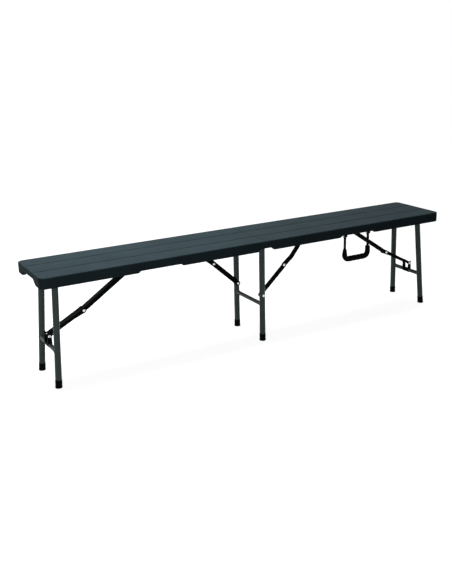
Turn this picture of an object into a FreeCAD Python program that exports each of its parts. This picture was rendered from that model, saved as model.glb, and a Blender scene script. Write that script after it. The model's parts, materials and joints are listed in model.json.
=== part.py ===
import FreeCAD, Part
import math
import os
from FreeCAD import Vector

# A six-foot folding bench. The seat is two hollow plastic halves, which fold down at the middle.
# Millimetres. Z is up, X runs along the bench, Y across it, and the origin is on the floor under the centre.
# The right half is modelled, and the left half is the same half turned half a turn about Z.

# Seat
bench_length = 1830.0
bench_width = 280.0
seat_height = 430.0
seam_gap = 1.0
skirt_depth = 41.0
skirt_wall = 14.0
deck_thickness = 15.0
plastic_wall = 3.0
outer_corner_radius = 22.0
seam_corner_radius = 3.0
top_edge_radius = 4.0
plank_width = 94.0
plank_line_width = 3.0
plank_line_depth = 1.6
plank_line_inset = 14.0
blow_hole_radius = 1.9

# Cut-outs in the skirt
handle_slot_half = 82.0
handle_slot_rise = 7.0
handle_slot_slant = 9.0
seam_notch_length = 25.0
seam_notch_slant = 13.0
end_arch_half = 52.0
end_arch_rise = 19.0
end_arch_slant = 26.0

# Channel for the end stay in the underside
stay_channel_half = 20.0
stay_channel_depth = 6.0
stay_channel_spare = 36.0
stay_channel_end_gap = 53.0

# Middle hinge
hinge_offset = 22.0
hinge_drop = 15.0
hinge_eye_radius = 9.0
hinge_pin_radius = 3.0
hinge_plate_thickness = 3.0
hinge_ear_thickness = 2.5
hinge_ear_radius = 8.0
hinge_bracket_length = 55.0
hinge_bracket_slant = 18.0
hinge_screw_inset = 13.75

# Steel tube
tube_radius = 12.0
tube_wall = 1.2
crossbar_radius = 8.5
axle_radius = 9.5
foot_radius = 13.5
foot_height = 30.0
foot_sole = 4.0

# Middle legs
mid_leg_y = 103.0
mid_leg_drop = 8.0
mid_crossbar_drop = 40.0
mid_top_bar_half = 9.0
mid_top_bar_thickness = 2.5
mid_top_bar_gap = 7.0

# End legs
end_pivot_inset = 70.0
end_pivot_drop = 18.0
end_leg_rake = 26.0
end_leg_top_y = 76.6
end_leg_splay = 20.6
end_crossbar_drop = 34.0
end_crossbar_offset = 3.5
saddle_y = 45.0
saddle_width = 20.0
saddle_thickness = 2.5
saddle_foot_length = 16.0

# End stay
end_stay_lower_drop = 225.0
end_stay_lower_offset = 5.0
end_stay_lower_length = 157.3
end_stay_span = 371.0
end_stay_upper_drop = 4.0
lower_channel_half = 16.5
upper_channel_half = 14.3
channel_thickness = 1.8
channel_taper = 16.0
channel_web_start = 2.0
lower_channel_rise = 7.5
lower_channel_fall = 4.5
lower_channel_end_radius = 8.0
lower_channel_lobe_radius = 9.5
lower_channel_lobe_reach = 45.0
upper_channel_rise = 7.5
upper_channel_fall = 7.0
upper_channel_end_radius = 7.0
upper_channel_nose_radius = 5.4
upper_channel_nose_length = 1.5
upper_channel_web_gap = 4.0
stay_bracket_thickness = 2.5
stay_bracket_radius = 8.0
stay_bracket_sleeve = 1.2
stay_bracket_rise = 11.0
stay_bracket_top = 4.0
upper_bracket_thickness = 2.0
upper_bracket_length = 36.0
upper_bracket_screw_inset = 4.0
upper_bracket_screw_pitch = 6.0

# Middle stay
mid_stay_lower_drop = 204.0
mid_stay_lower_length = 157.0
mid_stay_folded_lean = 14.0
mid_stay_upper_x = 204.0
mid_stay_upper_drop = 11.0
mid_bar_thickness = 3.0
mid_bar_half = 10.5
mid_bracket_thickness = 2.5
mid_bracket_half = 20.0
mid_bracket_flange = 22.0
mid_bracket_screw_spread = 12.0
mid_bow = 9.0
mid_bow_start = 0.35
mid_bow_end = 0.75
mid_bow_fall = 0.8

# Carry handle
handle_shift = 7.0
handle_half_span = 61.5
handle_pivot_inset = 19.0
handle_rod_radius = 5.5
handle_grip_radius = 12.5
handle_drop = 115.0
handle_corner_radius = 20.0
handle_grip_rise = 24.0
handle_eye_radius = 6.5
handle_eye_spare = 0.5
handle_pin_radius = 2.5
handle_bracket_half = 18.0
handle_bracket_height = 14.0
handle_bracket_thickness = 2.0
handle_bracket_gap = 1.0

# Fasteners
rivet_radius = 3.0
rivet_head_radius = 5.5
rivet_head_height = 2.0
screw_radius = 1.9
screw_head_radius = 4.0
screw_head_height = 1.8
screw_length = 9.0
pin_spare = 1.0

# Clearances
pivot_clearance = 0.05
side_clearance = 0.4
cut_spare = 1.0

# Levels and planes that follow from the sizes
half_length = bench_length / 2
half_width = bench_width / 2
skirt_bottom = seat_height - skirt_depth
deck_underside = seat_height - deck_thickness
channel_roof = deck_underside + stay_channel_depth
hinge_height = deck_underside - hinge_drop
mid_leg_top = hinge_height - mid_leg_drop
mid_top_bar_top = deck_underside - mid_top_bar_gap
mid_stay_lower_height = hinge_height - mid_stay_lower_drop
mid_stay_upper_height = deck_underside - mid_stay_upper_drop
mid_crossbar_height = mid_stay_lower_height - mid_crossbar_drop
end_pivot_height = deck_underside - end_pivot_drop
end_stay_lower_height = end_pivot_height - end_stay_lower_drop
end_stay_upper_height = deck_underside - end_stay_upper_drop
end_crossbar_height = end_stay_lower_height - end_crossbar_drop
handle_bottom = skirt_bottom - handle_drop
skirt_inner_y = half_width - skirt_wall
skirt_inner_x = half_length - skirt_wall
end_pivot_x = half_length - end_pivot_inset
end_stay_upper_x = end_pivot_x - end_stay_span
stay_channel_start = end_stay_upper_x - stay_channel_spare
stay_channel_end = end_pivot_x - stay_channel_end_gap
seam_face = seam_gap / 2
slot_middle = half_length / 2
handle_middle = slot_middle + handle_shift
far = 2 * bench_length


def box(x0, x1, y0, y1, z0, z1):
    """Block between two corners."""
    return Part.makeBox(x1 - x0, y1 - y0, z1 - z0, Vector(x0, y0, z0))


def round_y(x, z, radius, y0, y1):
    """Cylinder along Y."""
    return Part.makeCylinder(radius, y1 - y0, Vector(x, y0, z), Vector(0, 1, 0))


def round_x(y, z, radius, x0, x1):
    """Cylinder along X."""
    return Part.makeCylinder(radius, x1 - x0, Vector(x0, y, z), Vector(1, 0, 0))


def round_z(x, y, radius, z0, z1):
    """Cylinder along Z."""
    return Part.makeCylinder(radius, z1 - z0, Vector(x, y, z0))


def plate_xz(points, y0, y1):
    """Plate with a straight-sided outline in X and Z, between two Y planes."""
    corners = [Vector(x, y0, z) for x, z in points]
    face = Part.Face(Part.makePolygon(corners + [corners[0]]))
    return face.extrude(Vector(0, y1 - y0, 0))


def plate_yz(points, x0, x1):
    """Plate with a straight-sided outline in Y and Z, between two X planes."""
    corners = [Vector(x0, y, z) for y, z in points]
    face = Part.Face(Part.makePolygon(corners + [corners[0]]))
    return face.extrude(Vector(x1 - x0, 0, 0))


def joined(shapes):
    """One solid from pieces that touch or overlap."""
    whole = shapes[0]
    for shape in shapes[1:]:
        whole = whole.fuse(shape)
    return whole.removeSplitter()


def half_turn(shape):
    """The same shape on the left half."""
    turned = shape.copy()
    turned.rotate(Vector(0, 0, 0), Vector(0, 0, 1), 180)
    return turned


def turned_point(point, about, degrees):
    """A point of X and Z turned clockwise, seen from the front."""
    angle = -math.radians(degrees)
    x = point[0] - about[0]
    z = point[1] - about[1]
    cosine = math.cos(angle)
    sine = math.sin(angle)
    return (about[0] + x * cosine - z * sine, about[1] + x * sine + z * cosine)


def meeting_point(first, first_radius, second, second_radius):
    """The lower point where two circles in X and Z meet."""
    dx = second[0] - first[0]
    dz = second[1] - first[1]
    distance = math.hypot(dx, dz)
    along = (first_radius ** 2 - second_radius ** 2 + distance ** 2) / (2 * distance)
    aside = math.sqrt(first_radius ** 2 - along ** 2)
    points = []
    for side in (1, -1):
        x = first[0] + (along * dx - side * aside * dz) / distance
        z = first[1] + (along * dz + side * aside * dx) / distance
        points.append((x, z))
    return min(points, key=lambda point: point[1])


def bearing(start, end):
    """Angle of the line from one X and Z point to another, in degrees."""
    return math.degrees(math.atan2(end[1] - start[1], end[0] - start[0]))


def local_to_xz(start, end, points, side):
    """Points given along a line and beside it, turned into X and Z."""
    length = math.dist(start, end)
    ux = (end[0] - start[0]) / length
    uz = (end[1] - start[1]) / length
    return [(start[0] + s * ux - side * n * uz, start[1] + s * uz + side * n * ux) for s, n in points]


# Linkages, worked out so that each stay closes both when it is open and when it is folded
fold_pivot = (hinge_offset, hinge_height)
leg_pivot = (end_pivot_x, end_pivot_height)
leg_fold_angle = 90 + math.degrees(math.atan2(end_leg_rake, end_pivot_height))


def on_end_leg(height, offset):
    """A point beside the line of the raked end leg, outwards by an offset."""
    down = (end_pivot_height - height) / end_pivot_height
    return (end_pivot_x + end_leg_rake * down + offset, height)


stay_foot = on_end_leg(end_stay_lower_height, end_stay_lower_offset)
end_crossbar = on_end_leg(end_crossbar_height, end_crossbar_offset)
stay_top = (end_stay_upper_x, end_stay_upper_height)
stay_foot_folded = turned_point(stay_foot, leg_pivot, leg_fold_angle)
stay_rise = end_stay_upper_height - stay_foot_folded[1]
stay_elbow_folded = (
    stay_foot_folded[0] + math.sqrt(end_stay_lower_length ** 2 - stay_rise ** 2),
    end_stay_upper_height,
)
end_stay_upper_length = math.dist(stay_elbow_folded, stay_top)
stay_elbow = meeting_point(stay_foot, end_stay_lower_length, stay_top, end_stay_upper_length)

mid_foot = (0.0, mid_stay_lower_height)
mid_top = (mid_stay_upper_x, mid_stay_upper_height)
mid_top_folded = turned_point(mid_top, fold_pivot, 90)
mid_elbow_folded = (
    mid_stay_folded_lean,
    mid_stay_lower_height + math.sqrt(mid_stay_lower_length ** 2 - mid_stay_folded_lean ** 2),
)
mid_stay_upper_length = math.dist(mid_elbow_folded, mid_top_folded)
mid_elbow = meeting_point(mid_foot, mid_stay_lower_length, mid_top, mid_stay_upper_length)

# Lanes across the bench, from the middle leg inwards
def lane_inside(face, thickness):
    """The Y range of a bar that runs inside a face with a side clearance."""
    start = face + side_clearance
    return (start, start + thickness)


mid_lower_lane = lane_inside(-mid_leg_y + tube_radius, mid_bar_thickness)
mid_upper_lane = lane_inside(mid_lower_lane[1], mid_bar_thickness)
mid_bracket_lane = lane_inside(mid_upper_lane[1], mid_bracket_thickness)

panel_holes = []


def panel_screw(x, y, z, direction):
    """A pan-head screw into the panel. The head's underside is at the point."""
    point = Vector(x, y, z)
    shank = Part.makeCylinder(screw_radius, screw_length, point, direction)
    head = Part.makeCylinder(screw_head_radius, screw_head_height, point, direction.negative())
    panel_holes.append(shank)
    return joined([shank, head])


def seat_outline(inset):
    """Plan of one half, drawn in by an inset, as a face at Z = 0."""
    x0 = seam_face + inset
    x1 = half_length - inset
    y1 = half_width - inset
    near = max(seam_corner_radius - inset, seam_face)
    outer = max(outer_corner_radius - inset, seam_face)
    slant = math.sqrt(0.5)
    corners = [(x1, y1, 1, 1, outer), (x0, y1, -1, 1, near), (x0, -y1, -1, -1, near), (x1, -y1, 1, -1, outer)]
    arcs = []
    for x, y, sx, sy, radius in corners:
        cx = x - sx * radius
        cy = y - sy * radius
        side = Vector(x, cy, 0)
        middle = Vector(cx + sx * radius * slant, cy + sy * radius * slant, 0)
        end = Vector(cx, y, 0)
        arcs.append([side, middle, end] if sx * sy > 0 else [end, middle, side])
    edges = []
    for number, arc in enumerate(arcs):
        edges.append(Part.Arc(arc[0], arc[1], arc[2]).toShape())
        following = arcs[(number + 1) % len(arcs)][0]
        edges.append(Part.LineSegment(arc[2], following).toShape())
    return Part.Face(Part.Wire(edges))


def seat_cutters(grown):
    """Everything cut out of a half from below, each cutter grown by a wall."""
    low = skirt_bottom - skirt_depth
    side = skirt_inner_y + grown
    lane = stay_channel_half + grown
    cutters = [
        box(-half_length, skirt_inner_x + grown, -side, side, low, deck_underside + grown),
        box(stay_channel_start - grown, stay_channel_end + grown, -lane, lane, low, channel_roof + grown),
    ]
    notch = [
        (-half_length, low),
        (seam_notch_length + seam_notch_slant + grown, low),
        (seam_notch_length + seam_notch_slant + grown, skirt_bottom),
        (seam_notch_length + grown, hinge_height + grown),
        (-half_length, hinge_height + grown),
    ]
    cutters.append(plate_xz(notch, -far, far))
    slot_low = handle_slot_half + handle_slot_slant + grown
    slot_high = handle_slot_half + grown
    slot_roof = skirt_bottom + handle_slot_rise + grown
    slot = [
        (slot_middle - slot_low, low),
        (slot_middle + slot_low, low),
        (slot_middle + slot_low, skirt_bottom),
        (slot_middle + slot_high, slot_roof),
        (slot_middle - slot_high, slot_roof),
        (slot_middle - slot_low, skirt_bottom),
    ]
    cutters.append(plate_xz(slot, -far, far))
    arch_low = end_arch_half + end_arch_slant + grown
    arch_high = end_arch_half + grown
    arch_roof = skirt_bottom + end_arch_rise + grown
    arch = [(-arch_low, low), (arch_low, low), (arch_low, skirt_bottom), (arch_high, arch_roof),
            (-arch_high, arch_roof), (-arch_low, skirt_bottom)]
    cutters.append(plate_yz(arch, skirt_inner_x - skirt_wall, far))
    return cutters


def plank_lines(grown):
    """The two shallow lines that divide the seat into three planks."""
    lines = []
    for side in (-1, 1):
        middle = side * plank_width / 2
        half = plank_line_width / 2 + grown
        end = half_length - plank_line_inset + grown
        low = seat_height - plank_line_depth - grown
        lines.append(box(-half_length, end, middle - half, middle + half, low, far))
    return lines


def seat_panel():
    """One hollow half: a double-walled deck with a skirt, open beneath and at the seam."""
    outer = seat_outline(0).extrude(Vector(0, 0, skirt_depth))
    outer.translate(Vector(0, 0, skirt_bottom))
    top_edges = [edge for edge in outer.Edges if edge.BoundBox.ZMin > seat_height - seam_face]
    outer = outer.makeFillet(top_edge_radius, top_edges)
    for cutter in seat_cutters(0) + plank_lines(0):
        outer = outer.cut(cutter)
    cavity = seat_outline(plastic_wall).extrude(Vector(0, 0, skirt_depth - 2 * plastic_wall))
    cavity.translate(Vector(0, 0, skirt_bottom + plastic_wall))
    for cutter in seat_cutters(plastic_wall) + plank_lines(plastic_wall):
        cavity = cavity.cut(cutter)
    panel = outer.cut(cavity)
    blow_hole_top = deck_underside + plastic_wall + cut_spare
    blow_hole = round_z(slot_middle / 2, skirt_inner_y / 2, blow_hole_radius, skirt_bottom, blow_hole_top)
    return panel.cut(blow_hole)


def drilled(panel, holes):
    """A panel with its screw holes."""
    for hole in holes:
        panel = panel.cut(hole)
    return panel


def tube(start, end, radius, low=None, high=None):
    """A round tube between two points, cut level at the given heights."""
    start = Vector(*start)
    end = Vector(*end)
    run = end.sub(start)
    length = run.Length
    run.normalize()
    spare = 2 * radius if low is not None or high is not None else 0.0
    base = start.sub(Vector(run).multiply(spare))
    outer = Part.makeCylinder(radius, length + 2 * spare, base, run)
    inner = Part.makeCylinder(radius - tube_wall, length + 2 * spare, base, run)
    pipe = outer.cut(inner)
    if low is not None:
        pipe = pipe.cut(box(-far, far, -far, far, low - far, low))
    if high is not None:
        pipe = pipe.cut(box(-far, far, -far, far, high, high + far))
    return pipe


def foot_cap(top, bottom):
    """A plastic cap pushed over the end of a leg that runs from top to bottom."""
    top = Vector(*top)
    bottom = Vector(*bottom)
    up = top.sub(bottom)
    up.normalize()
    low = bottom.sub(Vector(up).multiply(foot_radius))
    cup = Part.makeCylinder(foot_radius, foot_height + foot_radius, low, up)
    bore = Part.makeCylinder(tube_radius, foot_height + 2 * foot_radius, low, up)
    bore = bore.cut(box(-far, far, -far, far, -far, foot_sole))
    return cup.cut(box(-far, far, -far, far, -far, 0)).cut(bore)


def rivet(x, z, y0, y1, radius=rivet_radius):
    """A rivet along Y with a round head outside each end."""
    shank = round_y(x, z, radius, y0, y1)
    heads = [dome_y(x, z, y0, -1), dome_y(x, z, y1, 1)]
    return joined([shank] + heads)


def dome_y(x, z, y, side):
    """A rivet head on the plane Y = y, bulging to one side: the cap of a ball."""
    ball_radius = (rivet_head_radius ** 2 + rivet_head_height ** 2) / (2 * rivet_head_height)
    centre_y = y - side * (ball_radius - rivet_head_height)
    ball = Part.makeSphere(ball_radius, Vector(x, centre_y, z))
    crest = y + side * rivet_head_height
    return ball.common(round_y(x, z, rivet_head_radius, min(y, crest), max(y, crest)))


def half_rivet(x, z, y0, y1, side):
    """A rivet that stays in one strap, with its head on one side only."""
    head = dome_y(x, z, y1 if side > 0 else y0, side)
    return joined([round_y(x, z, rivet_radius, y0, y1), head])


nodes = {}


def keep(name, shapes):
    """File one node: a single solid, or a group of solids that belong together."""
    nodes[name] = shapes if isinstance(shapes, list) else [shapes]


def middle_frame():
    """The fixed middle legs, with the plates that both halves hinge on."""
    for name, side in (("front", -1), ("back", 1)):
        y = side * mid_leg_y
        keep("middle_" + name + "_leg", tube((0, y, foot_sole), (0, y, mid_leg_top), tube_radius))
        keep("middle_" + name + "_foot", foot_cap((0, y, mid_leg_top), (0, y, 0)))
        y0 = y - hinge_plate_thickness / 2
        y1 = y + hinge_plate_thickness / 2
        top = hinge_height + hinge_eye_radius
        plate = joined([
            box(-hinge_offset, hinge_offset, y0, y1, mid_leg_top, top),
            round_y(-hinge_offset, hinge_height, hinge_eye_radius, y0, y1),
            round_y(hinge_offset, hinge_height, hinge_eye_radius, y0, y1),
        ])
        plate = plate.cut(box(-far, far, -far, far, 0, mid_leg_top))
        for x in (-hinge_offset, hinge_offset):
            plate = plate.cut(round_y(x, hinge_height, hinge_pin_radius + pivot_clearance, -far, far))
        keep("middle_" + name + "_hinge_plate", plate)
    inner = mid_leg_y - hinge_plate_thickness / 2
    keep("middle_top_bar", box(-mid_top_bar_half, mid_top_bar_half, -inner, inner,
                               mid_top_bar_top - mid_top_bar_thickness, mid_top_bar_top))
    bar = tube((0, -mid_leg_y, mid_crossbar_height), (0, mid_leg_y, mid_crossbar_height), crossbar_radius)
    for y in (-mid_leg_y, mid_leg_y):
        bar = bar.cut(round_z(0, y, tube_radius, 0, mid_leg_top))
    keep("middle_crossbar", bar)
    through = rivet(mid_foot[0], mid_foot[1], -mid_leg_y - tube_radius, mid_lower_lane[1] + side_clearance)
    for name in ("front", "back"):
        leg = nodes["middle_" + name + "_leg"][0]
        y = -mid_leg_y if name == "front" else mid_leg_y
        hole = round_y(mid_foot[0], mid_foot[1], rivet_radius, y - 2 * tube_radius, y + 2 * tube_radius)
        keep("middle_" + name + "_leg", leg.cut(hole))
    keep("middle_stay_rivets", [through, half_turn(through)])


def hinge_brackets():
    """Channels under the seam end of the right half, which straddle the middle hinge plates."""
    brackets = []
    pins = []
    screws = []
    for side in (-1, 1):
        y = side * mid_leg_y
        inner = hinge_plate_thickness / 2 + side_clearance
        outer = inner + hinge_ear_thickness
        x1 = hinge_offset + hinge_bracket_length
        low = hinge_height - hinge_ear_radius
        web_low = deck_underside - hinge_ear_thickness
        ears = []
        for ear in (-1, 1):
            y0 = min(y + ear * inner, y + ear * outer)
            y1 = max(y + ear * inner, y + ear * outer)
            ears.append(joined([
                round_y(hinge_offset, hinge_height, hinge_ear_radius, y0, y1),
                plate_xz([(hinge_offset, low), (x1 - hinge_bracket_slant, low), (x1, web_low),
                          (x1, deck_underside), (hinge_offset, deck_underside)], y0, y1),
            ]))
        flange = outer + 2 * screw_head_radius + 2 * side_clearance
        web = box(hinge_offset, x1, y - flange, y + flange, web_low, deck_underside)
        bracket = joined(ears + [web])
        bracket = bracket.cut(round_y(hinge_offset, hinge_height, hinge_pin_radius, y - far, y + far))
        for x in (hinge_offset + hinge_screw_inset, x1 - hinge_screw_inset):
            for y_side in (-1, 1):
                screw_y = y + y_side * (outer + screw_head_radius + side_clearance)
                screws.append(panel_screw(x, screw_y, web_low, Vector(0, 0, 1)))
                bracket = bracket.cut(round_z(x, screw_y, screw_radius, hinge_height, deck_underside))
        brackets.append(bracket)
        pins.append(rivet(hinge_offset, hinge_height, y - outer, y + outer, hinge_pin_radius))
    return brackets, pins, screws


def axle_saddles():
    """Straps that hold the axle of the right end legs under the deck."""
    saddles = []
    screws = []
    bore = axle_radius + pivot_clearance
    outer = bore + saddle_thickness
    for side in (-1, 1):
        y0 = side * saddle_y - saddle_width / 2
        y1 = side * saddle_y + saddle_width / 2
        reach = outer + saddle_foot_length
        foot_low = deck_underside - saddle_thickness
        strap = joined([
            round_y(end_pivot_x, end_pivot_height, outer, y0, y1),
            box(end_pivot_x - outer, end_pivot_x + outer, y0, y1, end_pivot_height, deck_underside),
            box(end_pivot_x - reach, end_pivot_x + reach, y0, y1, foot_low, deck_underside),
        ])
        strap = strap.cut(round_y(end_pivot_x, end_pivot_height, bore, -far, far))
        strap = strap.cut(box(end_pivot_x - bore, end_pivot_x + bore, -far, far, end_pivot_height, far))
        for end in (-1, 1):
            x = end_pivot_x + end * (outer + saddle_foot_length / 2)
            screws.append(panel_screw(x, side * saddle_y, foot_low, Vector(0, 0, 1)))
            strap = strap.cut(round_z(x, side * saddle_y, screw_radius, end_pivot_height, seat_height))
        saddles.append(strap)
    return saddles, screws


def end_frame(prefix, place):
    """The raked and splayed legs at the right end. place puts them on either half."""
    axle_reach = end_leg_top_y + tube_radius
    axle_ends = [(end_pivot_x, side * axle_reach, end_pivot_height) for side in (-1, 1)]
    axle = tube(axle_ends[0], axle_ends[1], axle_radius)
    keep(prefix + "_axle", place(axle))
    solid_axle = round_y(end_pivot_x, end_pivot_height, axle_radius, -half_width, half_width)
    solid_legs = []
    for name, side in (("front", -1), ("back", 1)):
        if place is half_turn:
            name = {"front": "back", "back": "front"}[name]
        top = (end_pivot_x, side * end_leg_top_y, end_pivot_height)
        bottom = (end_pivot_x + end_leg_rake, side * (end_leg_top_y + end_leg_splay), 0.0)
        leg = tube(top, bottom, tube_radius, low=foot_sole, high=end_pivot_height).cut(solid_axle)
        keep(prefix + "_" + name + "_leg", place(leg))
        keep(prefix + "_" + name + "_foot", place(foot_cap(top, bottom)))
        run = Vector(*bottom).sub(Vector(*top))
        solid_legs.append(Part.makeCylinder(tube_radius, run.Length, Vector(*top), run))
    x, z = end_crossbar
    bar_y = end_leg_top_y + end_leg_splay * (end_pivot_height - z) / end_pivot_height
    bar = tube((x, -bar_y, z), (x, bar_y, z), crossbar_radius)
    for leg in solid_legs:
        bar = bar.cut(leg)
    bar = max(bar.Solids, key=lambda solid: solid.Volume)
    keep(prefix + "_crossbar", place(bar))

    # Bracket on the crossbar for the foot of the stay
    inner = lower_channel_half + side_clearance
    outer = inner + stay_bracket_thickness
    sleeve_radius = crossbar_radius + stay_bracket_sleeve
    foot_x, foot_z = stay_foot
    outline = [
        (x - sleeve_radius, z),
        (x + sleeve_radius, z),
        (foot_x + stay_bracket_radius, foot_z),
        (foot_x + stay_bracket_radius, foot_z + stay_bracket_rise),
        (foot_x + stay_bracket_top, foot_z + stay_bracket_rise),
        (foot_x - stay_bracket_radius, foot_z),
    ]
    ears = []
    for ear in (-1, 1):
        y0 = min(ear * inner, ear * outer)
        y1 = max(ear * inner, ear * outer)
        ears.append(joined([
            round_y(foot_x, foot_z, stay_bracket_radius, y0, y1),
            round_y(x, z, sleeve_radius, y0, y1),
            plate_xz(outline, y0, y1),
        ]))
    bracket = joined(ears + [round_y(x, z, sleeve_radius, -outer, outer)])
    bracket = bracket.cut(round_y(x, z, crossbar_radius, -far, far))
    bracket = bracket.cut(round_y(foot_x, foot_z, rivet_radius, -far, far))
    keep(prefix + "_stay_foot_bracket", place(bracket))
    keep(prefix + "_stay_foot_rivets", [
        place(half_rivet(foot_x, foot_z, -outer, -inner, -1)),
        place(half_rivet(foot_x, foot_z, inner, outer, 1)),
    ])


def channel_link(start, end, side, outline, start_radius, end_radius, half, rise, web):
    """A folded steel channel in the plane of the stay: two cheeks with a web along the upper edge.

    outline is given along the line from start to end and beside it, web as the two ends of the web.
    """
    cheeks = joined([
        plate_xz(local_to_xz(start, end, outline, side), -half, half),
        round_y(start[0], start[1], start_radius, -half, half),
        round_y(end[0], end[1], end_radius, -half, half),
    ])
    inside = half - channel_thickness
    deep = -far
    under_web = rise - channel_thickness
    hollow = [(deep, deep), (far, deep), (far, far), (web[1], far), (web[1], under_web), (web[0], under_web),
              (web[0], far), (deep, far)]
    return cheeks.cut(plate_xz(local_to_xz(start, end, hollow, side), -inside, inside))


def end_stay(prefix, place):
    """The two channels of the end stay, their rivets and the bracket under the deck."""
    length = end_stay_lower_length
    lower = channel_link(
        stay_foot, stay_elbow, -1,
        [(0, -lower_channel_end_radius), (channel_taper, -lower_channel_fall),
         (length - lower_channel_lobe_reach, -lower_channel_fall), (length, -lower_channel_lobe_radius),
         (length, lower_channel_rise), (channel_taper, lower_channel_rise), (0, lower_channel_end_radius)],
        lower_channel_end_radius, lower_channel_lobe_radius, lower_channel_half, lower_channel_rise,
        (channel_web_start, length),
    )
    lower = lower.cut(round_y(stay_foot[0], stay_foot[1], rivet_radius + pivot_clearance, -far, far))
    lower = lower.cut(round_y(stay_elbow[0], stay_elbow[1], rivet_radius, -far, far))
    keep(prefix + "_end_stay_lower", place(lower))
    keep(prefix + "_end_stay_elbow_rivet",
         place(rivet(stay_elbow[0], stay_elbow[1], -lower_channel_half, lower_channel_half)))
    length = end_stay_upper_length
    upper = channel_link(
        stay_top, stay_elbow, 1,
        [(0, -upper_channel_end_radius), (channel_taper, -upper_channel_fall),
         (length - channel_taper, -upper_channel_fall), (length, -upper_channel_nose_radius),
         (length, upper_channel_nose_radius),
         (length - upper_channel_nose_length, upper_channel_nose_radius),
         (length - upper_channel_web_gap, upper_channel_rise), (channel_taper, upper_channel_rise),
         (0, upper_channel_end_radius)],
        upper_channel_end_radius, upper_channel_nose_radius, upper_channel_half, upper_channel_rise,
        (channel_web_start, length - upper_channel_web_gap),
    )
    for x, z in (stay_top, stay_elbow):
        upper = upper.cut(round_y(x, z, rivet_radius + pivot_clearance, -far, far))
    keep(prefix + "_end_stay_upper", place(upper))

    # Bracket in the roof of the stay channel
    inner = upper_channel_half + side_clearance
    outer = inner + upper_bracket_thickness
    x, z = stay_top
    low = channel_roof - upper_bracket_thickness
    start = x + stay_bracket_radius - upper_bracket_length
    ears = []
    for ear in (-1, 1):
        y0 = min(ear * inner, ear * outer)
        y1 = max(ear * inner, ear * outer)
        ears.append(joined([
            round_y(x, z, stay_bracket_radius, y0, y1),
            box(x - stay_bracket_radius, x + stay_bracket_radius, y0, y1, z, channel_roof),
        ]))
    bracket = joined(ears + [box(start, x + stay_bracket_radius, -outer, outer, low, channel_roof)])
    bracket = bracket.cut(round_y(x, z, rivet_radius, -far, far))
    screws = []
    for step in (0, 1):
        screw_x = start + upper_bracket_screw_inset + step * upper_bracket_screw_pitch
        bracket = bracket.cut(round_z(screw_x, 0, screw_radius, z, seat_height))
        if place is same:
            screws.append(panel_screw(screw_x, 0, low, Vector(0, 0, 1)))
    keep(prefix + "_end_stay_top_bracket", place(bracket))
    keep(prefix + "_stay_pins", [place(rivet(x, z, -outer, outer))])
    return screws


def flat_bar(points, lane, holes):
    """A flat bar along a few points, with round ends, in one lane across the bench."""
    pieces = [round_y(x, z, mid_bar_half, lane[0], lane[1]) for x, z in points]
    for start, end in zip(points, points[1:]):
        length = math.dist(start, end)
        strip = [(0, -mid_bar_half), (length, -mid_bar_half), (length, mid_bar_half), (0, mid_bar_half)]
        pieces.append(plate_xz(local_to_xz(start, end, strip, 1), lane[0], lane[1]))
    bar = joined(pieces)
    for point, radius in holes:
        bar = bar.cut(round_y(point[0], point[1], radius, -far, far))
    return bar


def middle_stay(prefix, place):
    """The two flat bars between a middle leg and the right half, and their bracket."""
    lower = flat_bar([mid_foot, mid_elbow], mid_lower_lane,
                     [(mid_foot, rivet_radius + pivot_clearance), (mid_elbow, rivet_radius)])
    keep(prefix + "_middle_stay_lower", place(lower))
    keep(prefix + "_middle_stay_elbow_rivet",
         place(half_rivet(mid_elbow[0], mid_elbow[1], mid_lower_lane[0], mid_lower_lane[1], -1)))
    length = mid_stay_upper_length
    bow_points = [(mid_bow_start * length, mid_bow), (mid_bow_end * length, mid_bow_fall * mid_bow)]
    bow = local_to_xz(mid_elbow, mid_top, bow_points, -1)
    upper = flat_bar([mid_elbow] + bow + [mid_top], mid_upper_lane,
                     [(mid_top, rivet_radius + pivot_clearance), (mid_elbow, rivet_radius)])
    keep(prefix + "_middle_stay_upper", place(upper))
    keep(prefix + "_middle_stay_upper_rivet",
         place(half_rivet(mid_elbow[0], mid_elbow[1], mid_upper_lane[0], mid_upper_lane[1], 1)))

    # Angle bracket under the deck
    x, z = mid_top
    y0, y1 = mid_bracket_lane
    flange_low = deck_underside - mid_bracket_thickness
    flange = box(x - mid_bracket_half, x + mid_bracket_half, y0, y1 + mid_bracket_flange,
                 flange_low, deck_underside)
    ear = joined([
        round_y(x, z, mid_bar_half, y0, y1),
        plate_xz([(x - mid_bar_half, z), (x + mid_bar_half, z), (x + mid_bracket_half, deck_underside),
                  (x - mid_bracket_half, deck_underside)], y0, y1),
    ])
    bracket = joined([flange, ear]).cut(round_y(x, z, rivet_radius, -far, far))
    screws = []
    screw_y = y1 + mid_bracket_flange / 2
    for end in (-1, 1):
        screw_x = x + end * mid_bracket_screw_spread
        bracket = bracket.cut(round_z(screw_x, screw_y, screw_radius, z, seat_height))
        if place is same:
            screws.append(panel_screw(screw_x, screw_y, flange_low, Vector(0, 0, 1)))
    keep(prefix + "_middle_stay_bracket", place(bracket))
    nodes[prefix + "_stay_pins"].append(place(rivet(x, z, mid_upper_lane[0] - side_clearance, y1)))
    return screws


def same(shape):
    """A shape left where it is, on the right half."""
    return shape


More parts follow.
